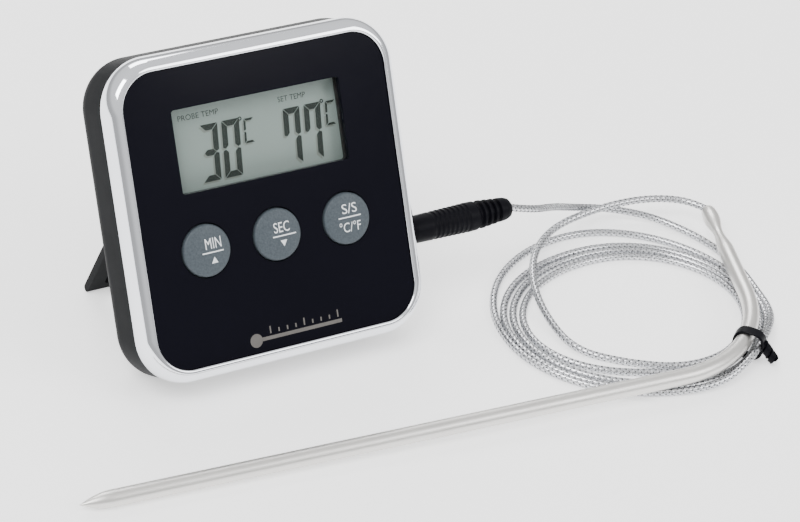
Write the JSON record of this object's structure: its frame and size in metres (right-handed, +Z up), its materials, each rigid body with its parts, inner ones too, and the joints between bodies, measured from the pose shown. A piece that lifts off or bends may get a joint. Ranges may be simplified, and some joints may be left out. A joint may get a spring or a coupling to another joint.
{
  "type": "digital probe thermometer",
  "caption": "Square digital probe thermometer and timer leaning back on a flip-out stand, with a braided lead in a tied coil that ends in a bent steel probe.",
  "frame": {"origin": "on the table, under the middle of the case, stand and probe taken together", "axes": "+Z up; the display leans back and faces -Y; +X toward the side with the probe jack, along the probe's straight length"},
  "size_m": [0.1863, 0.0853, 0.066],
  "materials": {
    "black_gloss": "gloss",
    "bezel_chrome": "polished",
    "shell_black": "fine satin",
    "window_clear": "clear",
    "inner_black": "matte",
    "display_glass": "clear",
    "display_film": "silvered",
    "button_grey": "satin",
    "strip_rubber": "matte",
    "mat_rubber": "matte",
    "board_green": "solder mask",
    "epoxy_black": "gloss",
    "component_dark": "matte",
    "plain_steel": "plated",
    "buzzer_brass": "satin",
    "ceramic_white": "fired",
    "cell_wrap": "gloss",
    "lead_red": "gloss",
    "jack_black": "matte",
    "plug_black": "satin",
    "pin_chrome": "polished",
    "steel_braid": "woven",
    "probe_steel": "satin",
    "tie_black": "satin",
    "bead_resin": "resin"
  },
  "bodies": {
    "case": {"back_shell": "shell_black", "chrome_bezel": "bezel_chrome", "face_plate": "black_gloss", "window_lens": "window_clear", "front_frame": "inner_black", "lcd_glass": "display_glass", "lcd_reflector": "display_film", "lcd_holder": "inner_black", "zebra_strips": "strip_rubber", "circuit_board": "board_green", "chip_blob": "epoxy_black", "board_parts": "component_dark", "board_screws": "plain_steel", "keypad_mat": "mat_rubber", "switch_body": "plain_steel", "case_screws": "plain_steel", "magnets": "plain_steel", "buzzer_disc": "buzzer_brass", "buzzer_ceramic": "ceramic_white", "battery_cell": "cell_wrap", "battery_contact": "plain_steel", "battery_spring": "plain_steel", "stand_pin": "plain_steel", "probe_jack": "jack_black", "jack_terminals": "plain_steel", "jack_leads": "lead_red", "battery_leads": "lead_red", "buzzer_leads": "lead_red"},
    "minute_key": {"button_minute": "button_grey"},
    "second_key": {"button_second": "button_grey"},
    "start_key": {"button_start_stop": "button_grey"},
    "mode_knob": {"switch_knob": "shell_black"},
    "cell_door": {"battery_door": "shell_black"},
    "leg": {"stand": "shell_black"},
    "lead": {"plug_body": "plug_black", "plug_pin": "pin_chrome", "cord_lead": "steel_braid", "cord_loop": "steel_braid", "cord_coil": "steel_braid", "probe_tube": "probe_steel", "probe_bend": "probe_steel", "probe_neck": "probe_steel", "probe_mouth": "probe_steel", "probe_tip": "probe_steel", "sensor_bead": "bead_resin", "sensor_leads": "lead_red", "twist_tie": "tie_black"}
  },
  "joints": [
    {"name": "minute_press", "type": "slide", "parent": "case", "child": "minute_key", "axis": [0, 0.866, -0.5], "range_m": [0, 0.0006], "stiffness_N_per_m": 900, "springref_m": -0.0004},
    {"name": "second_press", "type": "slide", "parent": "case", "child": "second_key", "axis": [0, 0.866, -0.5], "range_m": [0, 0.0006], "stiffness_N_per_m": 900, "springref_m": -0.0004},
    {"name": "start_press", "type": "slide", "parent": "case", "child": "start_key", "axis": [0, 0.866, -0.5], "range_m": [0, 0.0006], "stiffness_N_per_m": 900, "springref_m": -0.0004},
    {"name": "mode_slide", "type": "slide", "parent": "case", "child": "mode_knob", "axis": [1, 0, 0], "range_m": [0, 0.003]},
    {"name": "door_swing", "type": "hinge", "parent": "case", "child": "cell_door", "pos_m": [-0.0302, 0.01759, 0.01703], "axis": [1, 0, 0], "range_deg": [0, 70]},
    {"name": "stand_fold", "type": "hinge", "parent": "case", "child": "leg", "pos_m": [-0.0302, 0.02654, 0.03034], "axis": [-1, 0, 0], "range_deg": [0, 52]},
    {"name": "plug_pull", "type": "slide", "parent": "case", "child": "lead", "axis": [1, 0, 0], "range_m": [0, 0.014]}
  ]
}
